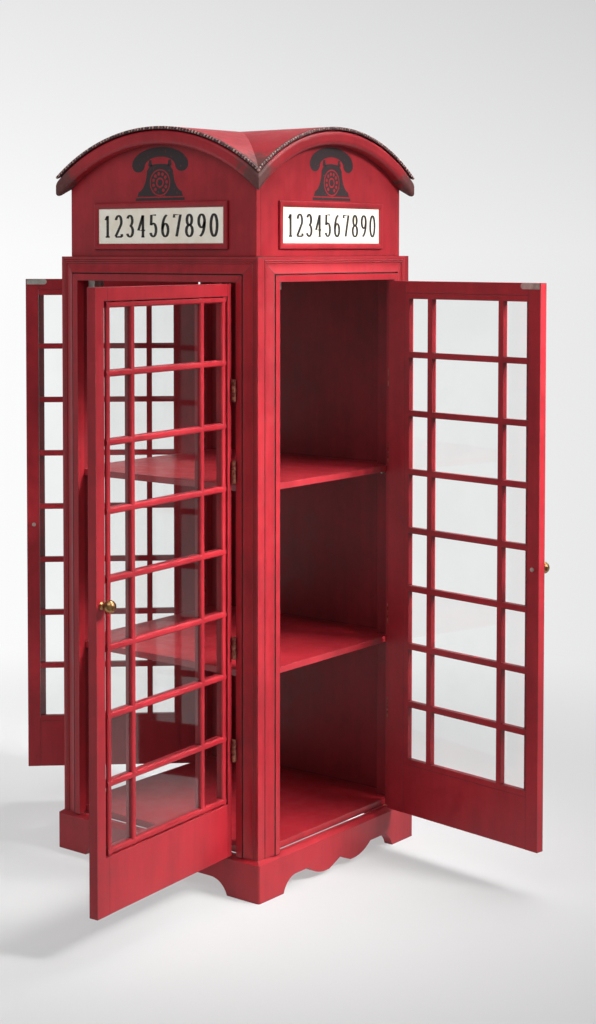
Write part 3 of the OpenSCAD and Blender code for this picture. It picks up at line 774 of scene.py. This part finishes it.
def strike_screws(side):
    """Two small countersunk screws that hold the strike plate, flush with it."""
    way, normal = door_axes(side)
    mesh = NODES[side + "_door_strike_plate"].data
    back, _ = span(mesh, normal)
    near, far = span(mesh, way)
    low, high = span(mesh, UP)
    inset, radius, rise = 8 * MM, 2.4 * MM, 0.05 * MM
    turn = (-normal).to_track_quat("Z", "Y").to_matrix().to_4x4()
    bm = bmesh.new()
    for u in (near + inset, far - inset):
        profile = [(0, -0.6 * MM), (radius * 0.6, -0.6 * MM)]
        profile += [(radius * math.cos(t), rise * math.sin(t))
                    for t in [math.radians(82 * k / 6) for k in range(7)]] + [(0, rise * 0.96)]
        head = lathe(profile, 24)
        head.transform(Matrix.Translation(way * u + normal * back + UP * ((low + high) / 2)) @ turn)
        bm.from_mesh(mesh_from(head, "head"))
    heads = smooth(mesh_from(bm, side + "_strike_screws"), SMALL_SMOOTH)
    add_object(side + "_strike_screws", heads, STEEL, side + "_door")


# ---------- putting it together ----------

def dress_cabinet():
    for node in ("base_front_apron", "base_back_apron", "base_left_apron", "base_right_apron",
                 "front_frame_stiles", "front_frame_head", "left_frame_stiles", "right_frame_stiles",
                 "side_frame_heads", "front_tympanum", "back_tympanum", "left_tympanum",
                 "right_tympanum", "sign_frames"):
        eased(node, RED, "cabinet")
    for node in ("floor_board", "lower_shelf", "upper_shelf"):
        eased(node, SHELF_RED, "cabinet")
    # Inside boards take the darker inside red, which is painted shade.
    for node in ("top_board", "back_panel", "corner_posts"):
        eased(node, SHADED_INNER_RED, "cabinet")
    for face in ("front", "back", "left", "right"):
        paint_node(face + "_roof_fascia", RIM_RED)
    paint_node("roof_panels", ROOF_RED)
    for node in ("frame_hinge_leaves", "frame_hinge_screws", "hinge_pins"):
        paint_node(node, HINGE)
    for node in ("shelf_pins", "door_catches"):
        paint_node(node, STEEL)
    paint_node("base_corner_blocks", WOOD)
    paint_node("sign_plates", CREAM)
    make_rim_beads()
    make_signs()


def dress_door(side):
    body = side + "_door"
    for part in ("stiles", "rails"):
        eased(f"{body}_{part}", RED, body)
    door_lattice(side, RED)
    door_knob(side)
    strike_screws(side)
    door_pane(side)
    for part in ("knob_bolt", "strike_plate"):
        paint_node(f"{body}_{part}", STEEL)
    for part in ("hinge_leaves", "hinge_screws"):
        paint_node(f"{body}_{part}", HINGE)


# ---------- studio ----------

PICTURE_AZIMUTH = 39.71
GLOW_LEVEL, GLOW_SIDE, GLOW_HEIGHT, GLOW_BACK = 0.93, 0.45, 1.15, 0.75
GLOW_LEAST, GLOW_MOST = 0.28, 0.99
GLOW_COLOUR = (0.995, 0.995, 1.0, 1.0)


def studio_glow(sh, way, share=1.0):
    """Brightness of the surrounding studio in a direction: bright behind the object, dim on the other side.

    The share scales how much it changes round the horizon. The world lights the scene with it, and the floor
    paints it on as glow."""
    a = math.radians(PICTURE_AZIMUTH)
    side = sh.dot(way, (math.cos(a), math.sin(a), 0.0))
    ahead = sh.dot(way, (-math.sin(a), math.cos(a), 0.0))
    height = sh.math("MAXIMUM", sh.dot(way, (0.0, 0.0, 1.0)), 0.0)
    turn = sh.math("ADD", sh.math("MULTIPLY", side, GLOW_SIDE),
                   sh.math("MULTIPLY", sh.math("SUBTRACT", 1.0, ahead), GLOW_BACK))
    level = sh.math("SUBTRACT", GLOW_LEVEL, sh.math("MULTIPLY", turn, share))
    level = sh.math("SUBTRACT", level, sh.math("MULTIPLY", height, GLOW_HEIGHT))
    return sh.math("MINIMUM", sh.math("MAXIMUM", level, GLOW_LEAST), GLOW_MOST)


def floor_material():
    """Pale studio floor with painted light: half of it glows even beside the object, which lifts its shadows,
    and far from the object it turns wholly into the glow of the studio.
    """
    sh = Shader("pale_floor_with_painted_glow")
    cloud = sh.noise(0.6, 3.0, 0.5)
    tone = sh.mix(sh.steps(cloud, 0.3, 0.7), (0.56, 0.56, 0.565, 1.0), (0.60, 0.60, 0.605, 1.0))
    matt = sh.node("ShaderNodeBsdfPrincipled", Base_Color=tone, Roughness=sh.steps(cloud, 0.3, 0.7, 0.6, 0.7))
    matt.inputs["Specular IOR Level"].default_value = 0.0
    way = sh.node("ShaderNodeVectorMath", {"operation": "NORMALIZE"})
    sh.put(way.inputs[0], sh.place)
    reach = sh.node("ShaderNodeVectorMath", {"operation": "LENGTH"})
    sh.put(reach.inputs[0], sh.place)
    share = sh.math("DIVIDE", reach.outputs["Value"], sh.math("ADD", reach.outputs["Value"], 4.0))
    # Painted light: an emission on the floor, brighter behind the object and dimmer on the other side.
    glow = sh.node("ShaderNodeEmission", Strength=studio_glow(sh, way.outputs[0], share))
    glow.inputs["Color"].default_value = GLOW_COLOUR
    # Half painted glow at the middle, all painted glow from 1.9 m out.
    return sh.finish(sh.blend(sh.steps(reach.outputs["Value"], 0.7, 1.9, 0.5, 1.0), matt, glow))


def make_floor():
    """Large round floor."""
    bm = bmesh.new()
    bmesh.ops.create_circle(bm, cap_ends=True, segments=96, radius=60.0)
    mesh = mesh_from(bm, "studio_floor")
    mesh.materials.append(floor_material())
    obj = bpy.data.objects.new("studio_floor", mesh)
    bpy.context.scene.collection.objects.link(obj)
    if mesh.polygons[0].normal.z < 0:
        mesh.flip_normals()


def make_world():
    """The studio round the object, as a soft glow that depends on the direction."""
    world = bpy.data.worlds.new("studio")
    bpy.context.scene.world = world
    sh = Shader("studio", world)
    back = sh.node("ShaderNodeBackground", Strength=studio_glow(sh, sh.place))
    back.inputs["Color"].default_value = GLOW_COLOUR
    sh.finish(back.outputs[0])


def area_light(name, place, target, size, power, colour, spread=180):
    data = bpy.data.lights.new(name, "AREA")
    data.shape = "RECTANGLE"
    data.size, data.size_y = size
    data.energy = power
    data.color = colour
    data.spread = math.radians(spread)
    obj = bpy.data.objects.new(name, data)
    obj.location = place
    obj.rotation_euler = (Vector(target) - Vector(place)).to_track_quat("-Z", "Y").to_euler()
    bpy.context.scene.collection.objects.link(obj)


def make_lights():
    """A gridded softbox on the right, with broad ones above the back and above the front."""
    area_light("right_softbox", (2.0, 0.3, 1.95), (0.24, -0.12, 0.62), (0.8, 0.8), 10.8,
               (1.0, 0.985, 0.97), 38)
    area_light("back_softbox", (0.35, 1.0, 3.2), (0.0, 0.0, 0.2), (1.8, 1.8), 40.0, (1.0, 1.0, 1.0), 120)
    area_light("top_softbox", (0.5, -1.9, 2.7), (0.0, -0.2, 0.7), (1.8, 1.8), 26.0, (1.0, 1.0, 1.0))


def make_camera():
    """Camera at the picture's angle: low, to the right of the front, with the frame shifted off the axis."""
    azimuth, pitch, roll = PICTURE_AZIMUTH, 2.59, -0.08
    data = bpy.data.cameras.new("camera")
    data.lens, data.sensor_width = 63.6, 36.0
    data.shift_x, data.shift_y = 0.0901, -0.1755
    data.clip_end = 200.0
    obj = bpy.data.objects.new("camera", data)
    obj.location = (2.2146, -2.7619, 1.1702)
    a, e = math.radians(azimuth), math.radians(pitch)
    forward = Vector((-math.sin(a) * math.cos(e), math.cos(a) * math.cos(e), -math.sin(e)))
    turn = forward.to_track_quat("-Z", "Y").to_matrix() @ Matrix.Rotation(math.radians(roll), 3, "Z")
    obj.rotation_euler = turn.to_euler()
    bpy.context.scene.collection.objects.link(obj)
    bpy.context.scene.camera = obj


dress_cabinet()
for door_side in SIDES:
    dress_door(door_side)
make_floor()
make_world()
make_lights()
make_camera()
bpy.context.scene.view_settings.view_transform = "Standard"
bpy.context.scene.view_settings.look = "None"
